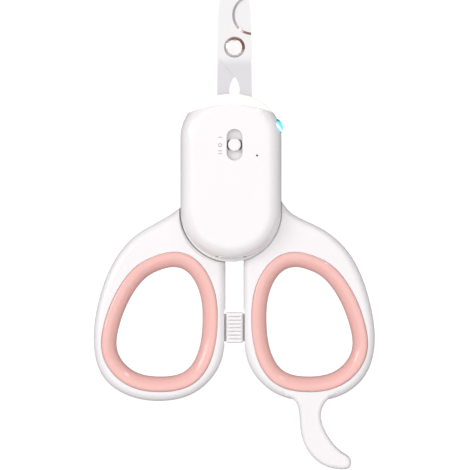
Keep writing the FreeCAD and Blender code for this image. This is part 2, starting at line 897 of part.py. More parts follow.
# The finger rest that curls away under the right loop.
TAIL_POINTS = [
    (14.2, -61.3),
    (17.3, -62.9),
    (18.3, -67.0),
    (19.1, -73.2),
    (21.6, -77.7),
    (25.4, -80.6),
    (29.2, -81.5),
    (32.3, -80.9),
    (32.6, -79.0),
    (30.4, -77.0),
    (27.3, -74.0),
    (25.0, -70.0),
    (24.2, -65.9),
    (25.4, -62.8),
    (28.2, -60.9),
]


def mirror_x(points, side):
    return [(side * x, y) for x, y in points]


def ring_curve(side, grow):
    """The soft ring's outer edge, moved out by grow along its normal."""
    curve = closed_curve(mirror_x(RING_POINTS, side))
    if grow == 0:
        return curve
    moved = []
    for point in mirror_x(RING_POINTS, side):
        place = Vector(*point, 0)
        tangent = curve.tangent(curve.parameter(place))[0]
        normal = Vector(tangent.y, -tangent.x, 0) * side
        if normal.dot(place - RING_CENTRE[side]) < 0:
            normal = normal * -1
        target = place + normal * grow
        moved.append((target.x, target.y))
    return closed_curve(moved)


def handle_outline(sketch, side, edge):
    """The thick part of a handle, in a single smooth sweep round its loop."""
    inner = SIZES["handle_gap"] / 2
    foot = (side * inner, LOOP_FOOT_Y)
    root = (side * ARM_ROOT[0], ARM_ROOT[1])
    inner_root = (side * inner, ARM_ROOT[1])
    points = [foot] + mirror_x(edge, side) + [root]
    outline(sketch, [smooth(points), line(root, inner_root), line(inner_root, foot)])


def arm_outline(sketch, side):
    """The thin arm from the thick part up to its end round the blade's tang."""
    inner = SIZES["handle_gap"] / 2
    low_y = ARM_ROOT[1] - 5.0
    bend = [ARM_TIP, ARM_BEND, ARM_ROOT]
    path = [
        (ARM_ROOT[0], low_y),
        (inner, low_y),
        (inner, ARM_TIP[1] - 2.5),
        (inner + 0.2, ARM_TIP[1]),
        ARM_TIP,
    ]
    path = mirror_x(path, side)
    bend = mirror_x(bend, side)
    sides = [line(a, b) for a, b in zip(path, path[1:])]
    outline(sketch, sides + [smooth(bend), line(bend[-1], path[0])])


def arm_recess(sketch, side):
    """Where the handle thins down to the arm that runs inside the housing."""
    pill(sketch, -dim("post_clearance") if side > 0 else -dim("recess_gap"))


def recess_ledge(sketch):
    """The moving handle's shallow ledge round the housing's lower left."""
    low_y = (SIZES["housing_width"] - SIZES["housing_length"]) / 2
    x = HOUSING_X.value - SIZES["ledge_shift"]
    y = low_y - SIZES["ledge_shift"]
    radius = SIZES["housing_width"] / 2 - SIZES["ledge_inset"]
    top = SIZES["housing_length"]
    outline(
        sketch,
        [
            arc(x, y, radius, math.pi, 2 * math.pi),
            line((x + radius, y), (x + radius, top)),
            line((x + radius, top), (x - radius, top)),
            line((x - radius, top), (x - radius, y)),
        ],
    )


def tang_slot(sketch, side):
    """Slot in the arm that holds the blade's tang, with two studs left standing."""
    low_x, high_x = SIZES["tang_inner_x"], SIZES["tang_inner_x"] + SIZES["tang_width"]
    x0, x1 = sorted((side * low_x, side * high_x))
    rectangle(sketch, x0, dim("tang_end_y"), x1, ARM_TIP[1] + OVERCUT)
    for y in TANG_STUDS:
        circle(sketch, (x0 + x1) / 2, y, dim("tang_stud_radius"))


def make_handle(label, side, edge):
    """A white handle: its loop, and the thinner arm that reaches into the housing."""
    body = new_body(label)
    sketch = add_sketch(body, dim("handle_back"))
    handle_outline(sketch, side, edge)
    pad(body, sketch, dim("handle_thick"))
    fillet(body, dim("handle_back"), dim("handle_rounding"), long_edge)
    fillet(body, HANDLE_FRONT, dim("handle_rounding"), long_edge)
    return body


def long_edge(edge):
    """Leaves out the short edge that closes an outline."""
    return edge.Length > 20


def finish_handle(body, side):
    """Adds the arm, and cuts the ring seat, tang slot and lock pockets into a handle."""
    if side < 0:
        sketch = add_sketch(body, HANDLE_FRONT + OVERCUT)
        recess_ledge(sketch)
        pocket(body, sketch, dim("ledge_drop") + OVERCUT)
    sketch = add_sketch(body, HANDLE_FRONT + OVERCUT)
    arm_recess(sketch, side)
    pocket(body, sketch, HANDLE_FRONT - NECK_FRONT + OVERCUT)
    sketch = add_sketch(body, dim("neck_back"))
    arm_recess(sketch, side)
    pocket(body, sketch, dim("neck_back") + OVERCUT)
    sketch = add_sketch(body, dim("neck_back"))
    arm_outline(sketch, side)
    pad(body, sketch, dim("neck_thick"))
    sketch = add_sketch(body, HANDLE_FRONT + OVERCUT)
    outline(sketch, [ring_curve(side, SIZES["ring_gap"])])
    pocket(body, sketch, dim("handle_thick") + 2 * OVERCUT)
    if side > 0:
        sketch = add_sketch(body, NECK_FRONT)
        tang_slot(sketch, side)
        pocket(body, sketch, NECK_FRONT - FRONT_BLADE_BACK)
        sketch = add_sketch(body, NECK_FRONT + OVERCUT)
        circle(sketch, *NECK_SCREW, dim("post_radius") + dim("post_clearance"))
        pocket(body, sketch, dim("neck_thick") + 2 * OVERCUT)
    else:
        sketch = add_sketch(body, REAR_BLADE_FRONT)
        tang_slot(sketch, side)
        pocket(body, sketch, REAR_BLADE_FRONT - dim("neck_back"))
    lock_pocket(body, side)


def lock_pocket(body, side):
    """Shallow recess beside the lock, and the slot its tongue runs in."""
    inner = SIZES["handle_gap"] / 2
    half = SIZES["lock_length"] / 2 + SIZES["lock_recess_room"]
    low, high = SIZES["lock_y"] - half, SIZES["lock_y"] + half
    depth = SIZES["lock_recess"]
    sketch = add_sketch(body, HANDLE_FRONT + OVERCUT)
    corners = [
        (side * (inner - 1), low - 1 - depth),
        (side * (inner + depth), low),
        (side * (inner + depth), high),
        (side * (inner - 1), high + 1 + depth),
    ]
    outline(sketch, [line(a, b) for a, b in zip(corners, corners[1:] + corners[:1])])
    pocket(body, sketch, dim("handle_thick") + 2 * OVERCUT)
    reach = dim("lock_width") / 2 + dim("lock_tongue") + dim("lock_gap")
    tongue_front = LOCK_MIDDLE + dim("lock_tongue_thick") / 2 + dim("lock_gap")
    sketch = add_sketch(body, tongue_front)
    tongue_half = dim("lock_tongue_length") / 2 + dim("lock_gap")
    tongue_low = dim("lock_y") - tongue_half
    tongue_high = dim("lock_y") + tongue_half + dim("lock_travel")
    if side > 0:
        rectangle(sketch, 0, tongue_low, reach, tongue_high)
    else:
        rectangle(sketch, -reach, tongue_low, 0, tongue_high)
    pocket(body, sketch, dim("lock_tongue_thick") + dim("lock_gap") * 2)


def make_left_handle():
    body = make_handle("left_handle", -1, LEFT_EDGE)
    finish_handle(body, -1)
    return body


def make_right_handle():
    """Right handle, with the curled finger rest joined under its loop."""
    tail = new_body("finger_rest")
    sketch = add_sketch(tail, dim("handle_back"))
    root_y = SIZES["tail_root_y"]
    low, high = TAIL_POINTS[0], TAIL_POINTS[-1]
    root = [high, (high[0], root_y), (low[0], root_y), low]
    closing = [line(a, b) for a, b in zip(root, root[1:])]
    outline(sketch, [smooth(TAIL_POINTS)] + closing)
    pad(tail, sketch, dim("handle_thick"))
    fillet(tail, dim("handle_back"), dim("tail_rounding"), long_edge)
    fillet(tail, HANDLE_FRONT, dim("tail_rounding"), long_edge)
    body = make_handle("right_handle", 1, RIGHT_EDGE)
    joined = body.newObject("PartDesign::Boolean", "Joined")
    joined.Type = "Fuse"
    joined.setObjects([tail])
    body.Tip = joined
    doc.recompute()
    finish_handle(body, 1)
    return body


def make_finger_ring(label, side):
    """Soft ring seated in the loop, rounded most on the side the finger touches."""
    body = new_body(label)
    sketch = add_sketch(body, ORIGIN)
    outline(sketch, [ring_curve(side, 0)])
    pad(body, sketch, dim("ring_thick"))
    fillet(body, ORIGIN, dim("ring_outer_rounding"))
    fillet(body, dim("ring_thick"), dim("ring_outer_rounding"))
    sketch = add_sketch(body, dim("ring_thick") + OVERCUT)
    outline(sketch, [ring_curve(side, -SIZES["ring_band"])])
    pocket(body, sketch, dim("ring_thick") + 2 * OVERCUT)
    shorter = ring_curve(side, -SIZES["ring_band"]).length() * 1.02

    def inner_edge(edge):
        return edge.Length < shorter

    fillet(body, ORIGIN, dim("ring_inner_rounding"), inner_edge)
    fillet(body, dim("ring_thick"), dim("ring_inner_rounding"), inner_edge)
    return body


# ------------------------------------------------------------------ blades and pivot
def blade_outline(sketch, side):
    """A blade whose tang is on the given side and whose spine crosses to the other."""
    half = SIZES["blade_half_width"]
    tang_x0 = SIZES["tang_inner_x"]
    tang_x1 = tang_x0 + SIZES["tang_width"]
    cx, cy, radius = SIZES["notch_x"], SIZES["notch_y"], SIZES["notch_radius"]
    pivot_y, tip_y = SIZES["pivot_y"], SIZES["blade_tip_y"]
    low_x = half - 0.25
    low_angle = math.acos((low_x - cx) / radius)
    high_x = 2.6
    high_angle = math.acos((high_x - cx) / radius)
    notch_low = (low_x, cy - radius * math.sin(low_angle))
    notch_high = (high_x, cy + radius * math.sin(high_angle))
    end_y = SIZES["tang_end_y"]
    neck_y = ARM_TIP[1] + 0.5
    tip = (1.7, tip_y - 1.9)
    tip_end = (-0.9, tip_y - 0.5)
    spine_low = (-half, pivot_y - 3.0)
    crotch = (-0.3, pivot_y - 7.9)
    fork = (1.3, pivot_y - 13.5)
    straight = [
        [fork, (tang_x0, neck_y - 0.5), (tang_x0, end_y), (tang_x1, end_y)],
        [(tang_x1, end_y), (tang_x1, neck_y), (half, neck_y + 4.0), notch_low],
        [notch_high, tip],
        [(-4.6, cy), spine_low],
    ]
    curved = [
        [tip, (0.6, tip_y - 0.2), tip_end],
        [tip_end, (-3.6, notch_high[1] + 1.5), (-4.6, cy)],
        [spine_low, (-2.3, pivot_y - 5.3), crotch],
        [crotch, (0.9, pivot_y - 9.6), fork],
    ]
    for run in straight:
        run = mirror_x(run, side)
        outline(sketch, [line(a, b) for a, b in zip(run, run[1:])])
    outline(sketch, [smooth(mirror_x(run, side)) for run in curved])
    notch = arc_on_side(side, cx, cy, radius, high_angle, 2 * math.pi - low_angle)
    outline(sketch, [notch])


def make_blade(label, side, back, bevel_up):
    """Polished steel blade: outline, pivot hole, tang holes and the notch's bevel."""
    body = new_body(label)
    sketch = add_sketch(body, back)
    blade_outline(sketch, side)
    pad(body, sketch, dim("blade_thick"))
    front = back + dim("blade_thick")
    hole = dim("rivet_radius") + (0.02 if bevel_up else dim("pivot_clearance"))
    sketch = add_sketch(body, front)
    circle(sketch, 0, dim("pivot_y"), hole)
    pocket(body, sketch, dim("blade_thick") + OVERCUT)
    sketch = add_sketch(body, front)
    middle = side * (SIZES["tang_inner_x"] + SIZES["tang_width"] / 2)
    for y in TANG_STUDS:
        circle(sketch, middle, y, dim("tang_stud_radius") + 0.02)
    pocket(body, sketch, dim("blade_thick") + OVERCUT)
    sharp = dim("notch_radius")
    wide = sharp + dim("bevel_width")
    low = front - dim("bevel_depth") if bevel_up else back
    cut_tool(
        body,
        "PartDesign::SubtractiveCone",
        Placement(Vector(side * SIZES["notch_x"], SIZES["notch_y"], low.value), Rotation()),
        Radius1=sharp if bevel_up else wide,
        Radius2=wide if bevel_up else sharp,
        Height=dim("bevel_depth"),
    )
    if bevel_up:
        cut_tool(
            body,
            "PartDesign::SubtractiveCone",
            Placement(
                Vector(0, SIZES["pivot_y"], front.value - SIZES["dish_depth"]), Rotation()
            ),
            Radius1=dim("rivet_head_radius") + 0.1,
            Radius2=dim("dish_radius"),
            Height=dim("dish_depth"),
        )
    return body




def turned_piece(label, profile):
    """A piece turned about the pivot's axis from a closed profile of (radius, z)."""
    body = new_body(label)
    sketch = add_sketch(body, 0, "XZ_Plane")
    outline(sketch, profile)
    revolve(body, sketch)
    body.Placement = Placement(Vector(0, SIZES["pivot_y"], 0), Rotation())
    return body


def make_pivot_rivet():
    """Rivet with a bright domed head in the front and a flat peened head at the back."""
    head = SIZES["rivet_head_radius"]
    shaft = SIZES["rivet_radius"]
    seat = FRONT_BLADE_FRONT.value - SIZES["dish_depth"]
    rim = seat + SIZES["dish_depth"] * 0.7
    dome_height = SIZES["rivet_dome"]
    dome = (head**2 + dome_height**2) / (2 * dome_height)
    turn = math.asin(head / dome)
    washer_back = SIZES["tang_back"] - 0.03 - SIZES["washer_thick"]
    peen = washer_back - 0.5
    return turned_piece(
        "pivot_rivet",
        [
            line((0, peen), (2.2, peen)),
            line((2.2, peen), (2.4, washer_back)),
            line((2.4, washer_back), (shaft, washer_back)),
            line((shaft, washer_back), (shaft, seat)),
            line((shaft, seat), (head, seat)),
            line((head, seat), (head, rim)),
            arc(0, rim + dome_height - dome, dome, math.pi / 2 - turn, math.pi / 2),
            line((0, rim + dome_height), (0, peen)),
        ],
    )


def make_pivot_washer():
    """Thin washer between the rear blade and the rivet's peened head."""
    inner = SIZES["rivet_radius"] + SIZES["pivot_clearance"]
    outer = SIZES["washer_radius"]
    front = SIZES["tang_back"] - 0.03
    back = front - SIZES["washer_thick"]
    return turned_piece(
        "pivot_washer",
        [
            line((inner, back), (outer, back)),
            line((outer, back), (outer, front)),
            line((outer, front), (inner, front)),
            line((inner, front), (inner, back)),
        ],
    )


# ------------------------------------------------------------------ lock and spring
def make_lock_slider():
    """Ribbed slider between the handles, with a tongue in a slot on each side."""
    body = new_body("lock_slider")
    half_x = dim("lock_width") / 2
    half_y = dim("lock_length") / 2
    lock_y = dim("lock_y")
    back = LOCK_MIDDLE - dim("lock_thick") / 2
    front = LOCK_MIDDLE + dim("lock_thick") / 2
    sketch = add_sketch(body, back)
    rectangle(sketch, -half_x, lock_y - half_y, half_x, lock_y + half_y)
    pad(body, sketch, dim("lock_thick"))
    fillet(body, front, dim("lock_rounding"))
    sketch = add_sketch(body, LOCK_MIDDLE - dim("lock_tongue_thick") / 2)
    reach = half_x + dim("lock_tongue")
    tongue_half = dim("lock_tongue_length") / 2
    rectangle(sketch, -reach, lock_y - tongue_half, reach, lock_y + tongue_half)
    pad(body, sketch, dim("lock_tongue_thick"))
    ribs = int(SIZES["lock_length"] / SIZES["rib_pitch"])
    rib_half_x = half_x - dim("rib_margin")
    sketch = add_sketch(body, front)
    for number in range(ribs):
        middle = (number - (ribs - 1) / 2) * SIZES["rib_pitch"]
        rib_low = lock_y + (middle - SIZES["rib_pitch"] / 3)
        rib_high = lock_y + (middle + SIZES["rib_pitch"] / 3)
        rectangle(sketch, -rib_half_x, rib_low, rib_half_x, rib_high)
    pad(body, sketch, dim("rib_height"))
    return body


def make_opening_spring():
    """Torsion spring: a small coil on the frame's peg, with a leg along each arm."""
    turns = 2.5
    radius = SIZES["spring_radius"]
    wire = SIZES["spring_wire"] / 2
    rise = SIZES["spring_pitch"] * turns
    low_z = SIZES["neck_back"] + SIZES["neck_thick"] / 2 - rise / 2
    leg = SIZES["spring_leg"]
    helix = Part.makeHelix(SIZES["spring_pitch"], rise, radius)
    first_leg = Part.makeLine(Vector(radius, -leg, 0), Vector(radius, 0, 0))
    last_leg = Part.makeLine(Vector(-radius, 0, rise), Vector(-radius, -leg, rise))
    spine = Part.Wire([first_leg] + helix.Edges + [last_leg])
    start = Vector(radius, -leg, 0)
    profile = Part.Wire(Part.makeCircle(wire, start, Vector(0, 1, 0)))
    shape = spine.makePipeShell([profile], True, True)
    spring = doc.addObject("Part::Feature", "opening_spring")
    spring.Label = "opening_spring"
    spring.Shape = shape.mirror(Vector(0, 0, 0), Vector(1, 0, 0))
    spring.Placement = Placement(Vector(0, SIZES["spring_y"], low_z), Rotation())
    return spring


# ------------------------------------------------------------------ all pieces
nodes = [
    make_front_cover(),
    make_light_lens(),
    make_middle_frame(),
    make_rear_cover(),
    make_cover_screws(),
    make_uv_lens(),
    make_uv_led(),
    make_switch_knob(),
    make_switch_lever(),
    make_slide_switch(),
    make_circuit_board(),
    make_battery_pad(),
    make_battery(),
    make_usb_socket(),
    make_white_leds(),
    make_charge_led(),
    make_light_pipe(),
    make_left_handle(),
    make_right_handle(),
    make_finger_ring("left_finger_ring", -1),
    make_finger_ring("right_finger_ring", 1),
    make_blade("rear_blade", -1, dim("tang_back"), bevel_up=False),
    make_blade("front_blade", 1, FRONT_BLADE_BACK, bevel_up=True),
    make_pivot_rivet(),
    make_pivot_washer(),
    make_lock_slider(),
    make_opening_spring(),
]
doc.recompute()

for item in doc.Objects:
    if "Invalid" in item.State or "Error" in item.State:
        raise RuntimeError(f"{item.Label} did not build: {item.State}")

os.makedirs("parts", exist_ok=True)
for node in nodes:
    if node.Shape.isNull() or not node.Shape.isValid() or not node.Shape.Solids:
        raise RuntimeError(f"{node.Label} has no valid solid")
    node.Shape.exportStep(f"parts/{node.Label}.step")
    print(f"{node.Label}: {len(node.Shape.Solids)} solid, {node.Shape.Volume:.1f} mm3")
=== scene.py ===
import math

import bmesh
import bpy
from bpy.props import FloatProperty, FloatVectorProperty, PointerProperty
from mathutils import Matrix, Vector


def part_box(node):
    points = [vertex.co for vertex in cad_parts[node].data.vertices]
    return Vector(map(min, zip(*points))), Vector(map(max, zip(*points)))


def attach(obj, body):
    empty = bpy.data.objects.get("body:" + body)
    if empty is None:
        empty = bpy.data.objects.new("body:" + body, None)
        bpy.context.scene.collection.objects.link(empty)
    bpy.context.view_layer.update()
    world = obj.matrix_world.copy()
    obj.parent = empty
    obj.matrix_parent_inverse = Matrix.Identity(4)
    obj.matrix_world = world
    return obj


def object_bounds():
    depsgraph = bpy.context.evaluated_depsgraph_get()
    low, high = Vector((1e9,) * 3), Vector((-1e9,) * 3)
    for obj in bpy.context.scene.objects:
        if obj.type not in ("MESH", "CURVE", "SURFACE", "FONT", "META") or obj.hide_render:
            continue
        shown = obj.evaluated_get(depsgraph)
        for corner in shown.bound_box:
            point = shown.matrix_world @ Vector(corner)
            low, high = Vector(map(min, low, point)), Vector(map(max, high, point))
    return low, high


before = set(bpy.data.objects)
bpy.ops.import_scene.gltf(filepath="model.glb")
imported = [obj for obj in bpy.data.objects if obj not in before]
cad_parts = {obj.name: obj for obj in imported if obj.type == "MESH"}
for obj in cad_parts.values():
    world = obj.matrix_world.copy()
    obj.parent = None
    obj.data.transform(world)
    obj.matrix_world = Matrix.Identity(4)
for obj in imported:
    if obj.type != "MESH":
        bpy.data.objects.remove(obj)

bl_info = {
    "name": "Lit Claw Clipper",
    "version": (1, 0, 0),
    "blender": (4, 5, 0),
    "location": "View3D > Sidebar > Clipper",
    "description": "Finishes, printed marks and studio for a scissor claw clipper with a lit housing",
    "category": "Object",
}

MM = 0.001
CAD_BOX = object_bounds()
KNOB_RADIUS = 1.8 * MM
FLOOR_GLOW = 1.1

# Typical refractive indices.
IOR_ABS = 1.53
IOR_TPE = 1.50
IOR_POLYCARBONATE = 1.585
IOR_ACRYLIC = 1.49
IOR_EPOXY = 1.55
IOR_NYLON = 1.53

# A Mix node of colours has several inputs of one name, so these are their places.
MIX_FACTOR = 0
MIX_FIRST = 6
MIX_SECOND = 7
MIX_COLOUR = 2


# ---------------------------------------------------------------- small helpers

def from_hex(code):
    """Linear red, green and blue of an sRGB colour written as #RRGGBB."""
    linear = []
    for start in (1, 3, 5):
        value = int(code[start:start + 2], 16) / 255
        if value <= 0.04045:
            linear.append(value / 12.92)
        else:
            linear.append(((value + 0.055) / 1.055) ** 2.4)
    return tuple(linear)


def per_metre(size_mm):
    """Pattern scale, in features per metre, for features of this size."""
    return 1000 / size_mm


def shade_of(colour, factor):
    """The same colour, lighter or darker by a factor, with its alpha."""
    return (*(min(1.0, part * factor) for part in colour), 1.0)


def add_node(tree, kind, values=None, links=None, **settings):
    """Adds a node, sets its own settings and input values, and links its inputs."""
    node = tree.nodes.new(kind)
    for setting, value in settings.items():
        setattr(node, setting, value)
    for socket, value in (values or {}).items():
        node.inputs[socket].default_value = value
    for socket, output in (links or {}).items():
        tree.links.new(output, node.inputs[socket])
    return node


def start_material(name, colour, **sockets):
    """A material with one Principled shader, whose even values are set on its own sockets."""
    material = bpy.data.materials.new(name)
    material.use_nodes = True
    tree = material.node_tree
    tree.nodes.clear()
    shader = add_node(tree, "ShaderNodeBsdfPrincipled", {"Base Color": (*colour, 1.0)})
    for socket, value in sockets.items():
        shader.inputs[socket.replace("_", " ")].default_value = value
    add_node(tree, "ShaderNodeOutputMaterial", links={"Surface": shader.outputs["BSDF"]})
    return material, tree, shader


def noise(tree, size, detail=2.0, stretch=(1, 1, 1)):
    """Height or mix pattern from 0 to 1, with features of this size in millimetres."""
    place = add_node(tree, "ShaderNodeTexCoord").outputs["Object"]
    turned = add_node(tree, "ShaderNodeMapping", {"Scale": stretch}, {"Vector": place})
    pattern = add_node(
        tree, "ShaderNodeTexNoise",
        {"Scale": per_metre(size), "Detail": detail},
        {"Vector": turned.outputs["Vector"]},
    )
    return pattern.outputs["Fac"]


def place_from(tree, point, stretch=(1, 1, 1)):
    """Object place measured from a point, then stretched."""
    place = add_node(tree, "ShaderNodeTexCoord").outputs["Object"]
    offset = add_node(
        tree, "ShaderNodeVectorMath", {1: point}, {0: place}, operation="SUBTRACT",
    )
    scaled = add_node(
        tree, "ShaderNodeVectorMath", {1: stretch}, {0: offset.outputs["Vector"]},
        operation="MULTIPLY",
    )
    return scaled.outputs["Vector"]


def calculate(tree, operation, first, second=None):
    """A Math node's output; the second operand is a number or another node's output."""
    values, links = {}, {0: first}
    if isinstance(second, bpy.types.NodeSocket):
        links[1] = second
    elif second is not None:
        values[1] = second
    return add_node(tree, "ShaderNodeMath", values, links, operation=operation).outputs["Value"]


def length_of(tree, vector):
    """Length of a vector output."""
    node = add_node(tree, "ShaderNodeVectorMath", links={0: vector}, operation="LENGTH")
    return node.outputs["Value"]


def ramp(tree, value, start, end, first=0.0, last=1.0, kind="LINEAR"):
    """Runs from the first number to the last while a value runs from start to end."""
    return add_node(
        tree, "ShaderNodeMapRange",
        {"From Min": start, "From Max": end, "To Min": first, "To Max": last},
        {"Value": value},
        interpolation_type=kind,
    ).outputs["Result"]


def blend(tree, factor, first, second):
    """Colour between two others, each of them a colour or another node's output."""
    values, links = {}, {MIX_FACTOR: factor}
    for socket, colour in ((MIX_FIRST, first), (MIX_SECOND, second)):
        if isinstance(colour, bpy.types.NodeSocket):
            links[socket] = colour
        else:
            values[socket] = colour
    return add_node(tree, "ShaderNodeMix", values, links, data_type="RGBA").outputs[MIX_COLOUR]


def vary_colour(tree, shader, pattern, dark, light):
    """Base colour that runs from one tone to another with a pattern."""
    tree.links.new(blend(tree, pattern, dark, light), shader.inputs["Base Color"])


def vary_roughness(tree, shader, pattern, smooth, dull):
    """Roughness that runs between two values with a pattern."""
    tree.links.new(ramp(tree, pattern, 0.0, 1.0, smooth, dull), shader.inputs["Roughness"])


def add_bump(tree, shader, height, depth):
    """Bump of a real depth in millimetres, from a height pattern."""
    bump = add_node(
        tree, "ShaderNodeBump", {"Strength": 1.0, "Distance": depth * MM}, {"Height": height},
    )
    tree.links.new(bump.outputs["Normal"], shader.inputs["Normal"])


def finish_nodes(names, material):
    """Gives the material to every slot of these CAD nodes."""
    for name in names:
        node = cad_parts[name]
        if not node.material_slots:
            node.data.materials.append(material)
        for slot in node.material_slots:
            slot.material = material


def add_piece(name, bm, material, body):
    """A new piece whose place is in its mesh, riding on a body."""
    bmesh.ops.remove_doubles(bm, verts=bm.verts, dist=1e-7)
    bmesh.ops.recalc_face_normals(bm, faces=bm.faces)
    mesh = bpy.data.meshes.new(name)
    bm.to_mesh(mesh)
    bm.free()
    mesh.materials.append(material)
    piece = bpy.data.objects.new(name, mesh)
    bpy.context.scene.collection.objects.link(piece)
    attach(piece, body)
    return piece


# ---------------------------------------------------------------- materials

def moulded_white_abs(name, colour, roughness, grain, grain_depth):
    """Injection-moulded ABS: a soft highlight, faint cloudiness and the tool's spark grain."""
    material, tree, shader = start_material(
        name, colour, IOR=IOR_ABS, Subsurface_Weight=0.10, Subsurface_Scale=0.6 * MM,
    )
    shader.inputs["Subsurface Radius"].default_value = (1.0, 0.9, 0.8)
    # The pigment clouds a little over a centimetre or so.
    vary_colour(tree, shader, noise(tree, 14.0), shade_of(colour, 0.985), shade_of(colour, 1.012))
    # Handling leaves slightly shinier and duller areas a few millimetres across.
    vary_roughness(tree, shader, noise(tree, 4.0, 4.0), roughness - 0.05, roughness + 0.05)
    add_bump(tree, shader, noise(tree, grain, 3.0), grain_depth)
    return material


def knob_with_painted_slot_shade(name, colour):
    """White knob with painted shade in its slot: the shutter is painted greyer, with a painted dark
    shadow crescent on each side.
    """
    material = moulded_white_abs(name, colour, 0.16, 0.5, 0.001)
    tree = material.node_tree
    shader = tree.nodes["Principled BSDF"]
    white = shader.inputs["Base Color"].links[0].from_socket
    low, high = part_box("switch_knob")
    middle = (low + high) / 2
    place = place_from(tree, Vector((middle.x, middle.y, high.z)))
    axes = add_node(tree, "ShaderNodeSeparateXYZ", links={"Vector": place})
    reach = length_of(tree, add_node(
        tree, "ShaderNodeVectorMath", {1: (1, 1, 0)}, {0: place}, operation="MULTIPLY",
    ).outputs["Vector"])
    along_slot = calculate(tree, "ABSOLUTE", axes.outputs["Y"])
    # The painted shadow crescent starts at the knob, ends at the slot's wall and stays below the
    # knob's rim.
    limits = (
        ramp(tree, reach, KNOB_RADIUS - 0.1 * MM, KNOB_RADIUS),
        ramp(tree, reach, KNOB_RADIUS + 0.3 * MM, KNOB_RADIUS + 0.45 * MM, 1.0, 0.0),
        ramp(tree, along_slot, 1.2 * MM, 1.6 * MM, 1.0, 0.0),
        ramp(tree, axes.outputs["Z"], -0.9 * MM, -0.6 * MM, 1.0, 0.0),
    )
    painted_gap_shadow = limits[0]
    for limit in limits[1:]:
        painted_gap_shadow = calculate(tree, "MULTIPLY", painted_gap_shadow, limit)
    # Painted shade: below the knob's rim the shutter is drawn greyer, where the slot's shade falls.
    shade_below_rim = ramp(tree, axes.outputs["Z"], -1.2 * MM, -0.9 * MM, 1.0, 0.0)
    painted_shutter_shade = blend(tree, shade_below_rim, white, shade_of(colour, 0.80))
    # Painted shadow: the crescents are near black, for the dark gap beside the knob.
    vary_colour(tree, shader, painted_gap_shadow, painted_shutter_shade, (*from_hex("#141414"), 1.0))
    return material


def frosted_polycarbonate(name, colour, glow):
    """Light-scattering polycarbonate, lit from behind: milky and even."""
    material, tree, shader = start_material(
        name, colour, IOR=IOR_POLYCARBONATE, Roughness=0.42, Subsurface_Weight=0.35,
        Subsurface_Scale=1.5 * MM, Emission_Color=(*colour, 1.0), Emission_Strength=glow,
    )
    vary_colour(tree, shader, noise(tree, 5.0), shade_of(colour, 0.97), shade_of(colour, 1.0))
    add_bump(tree, shader, noise(tree, 0.25, 3.0), 0.004)
    return material


def tinted_window(name, colour, glow):
    """Clear window over a lit ultraviolet lamp: cyan, darker at both ends, with a pale slanting
    streak of painted glow near its middle."""
    material, tree, shader = start_material(
        name, colour, IOR=IOR_POLYCARBONATE, Roughness=0.06, Transmission_Weight=0.15,
        Emission_Strength=glow,
    )
    low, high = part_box("uv_lens")
    middle = (low + high) / 2
    half = (high.y - low.y) / 2
    # The lamp lights the window's middle and leaves its two ends darker.
    along = length_of(tree, place_from(tree, middle, (0, 1 / half, 0)))
    ends = ramp(tree, along, 0.35, 0.95, kind="SMOOTHSTEP")
    tint = blend(tree, ends, (*colour, 1.0), (*from_hex("#0E6E80"), 1.0))
    slant = add_node(
        tree, "ShaderNodeVectorMath", {1: (0.78, 0.62, 0.0)},
        {0: place_from(tree, middle + Vector((0.3, 0.1, 0.0)) * MM)}, operation="DOT_PRODUCT",
    ).outputs["Value"]
    off_glow_streak = calculate(tree, "ABSOLUTE", slant)
    # Painted glow: a pale slanting streak, fed into both the colour and the emission.
    painted_glow_streak = ramp(tree, off_glow_streak, 0.08 * MM, 0.35 * MM, 1.0, 0.0, kind="SMOOTHSTEP")
    lit = blend(tree, painted_glow_streak, tint, (*from_hex("#F4FFFF"), 1.0))
    tree.links.new(lit, shader.inputs["Base Color"])
    tree.links.new(lit, shader.inputs["Emission Color"])
    add_bump(tree, shader, noise(tree, 1.5), 0.01)
    return material


def cast_epoxy(name, colour, glow):
    """Cast epoxy lamp body: glossy, faintly cloudy where the phosphor sits."""
    material, tree, shader = start_material(
        name, colour, IOR=IOR_EPOXY, Emission_Color=(*colour, 1.0), Emission_Strength=glow,
    )
    vary_colour(tree, shader, noise(tree, 0.8), shade_of(colour, 0.9), shade_of(colour, 1.0))
    vary_roughness(tree, shader, noise(tree, 0.6), 0.08, 0.2)
    return material


def polished_acrylic(name, colour):
    """Polished clear acrylic rod, with the light waviness of a small moulding."""
    material, tree, shader = start_material(
        name, colour, IOR=IOR_ACRYLIC, Roughness=0.05, Transmission_Weight=0.9,
    )
    add_bump(tree, shader, noise(tree, 1.2), 0.005)
    return material


def nickel_plated_steel(name, colour, roughness, mark, stretch):
    """Pressed or drawn steel under a thin nickel plate, with its forming lines showing through."""
    material, tree, shader = start_material(name, colour, Metallic=1.0)
    lines = noise(tree, mark, 3.0, stretch)
    vary_colour(tree, shader, noise(tree, 2.5), shade_of(colour, 0.88), shade_of(colour, 1.05))
    vary_roughness(tree, shader, lines, roughness - 0.07, roughness + 0.08)
    add_bump(tree, shader, lines, 0.002)
    return material


def moulded_nylon(name, colour):
    """Glass-filled nylon: dull black with a fine speckle of fibre ends."""
    material, tree, shader = start_material(name, colour, IOR=IOR_NYLON)
    speckle = noise(tree, 0.2, 3.0)
    vary_colour(tree, shader, speckle, shade_of(colour, 0.8), shade_of(colour, 1.6))
    vary_roughness(tree, shader, speckle, 0.45, 0.65)
    add_bump(tree, shader, speckle, 0.006)
    return material


def solder_mask_board(name, colour):
    """Glass-epoxy board under green solder mask, with the weave of the glass showing faintly."""
    material, tree, shader = start_material(name, colour, IOR=IOR_EPOXY)
    place = add_node(tree, "ShaderNodeTexCoord").outputs["Object"]
    weave = add_node(
        tree, "ShaderNodeTexWave",
        {"Scale": per_metre(0.5) / 20, "Distortion": 0.4},
        {"Vector": place},
        bands_direction="DIAGONAL",
    ).outputs["Fac"]
    vary_colour(tree, shader, weave, shade_of(colour, 0.8), shade_of(colour, 1.25))
    vary_roughness(tree, shader, noise(tree, 1.0), 0.25, 0.4)
    add_bump(tree, shader, weave, 0.004)
    return material


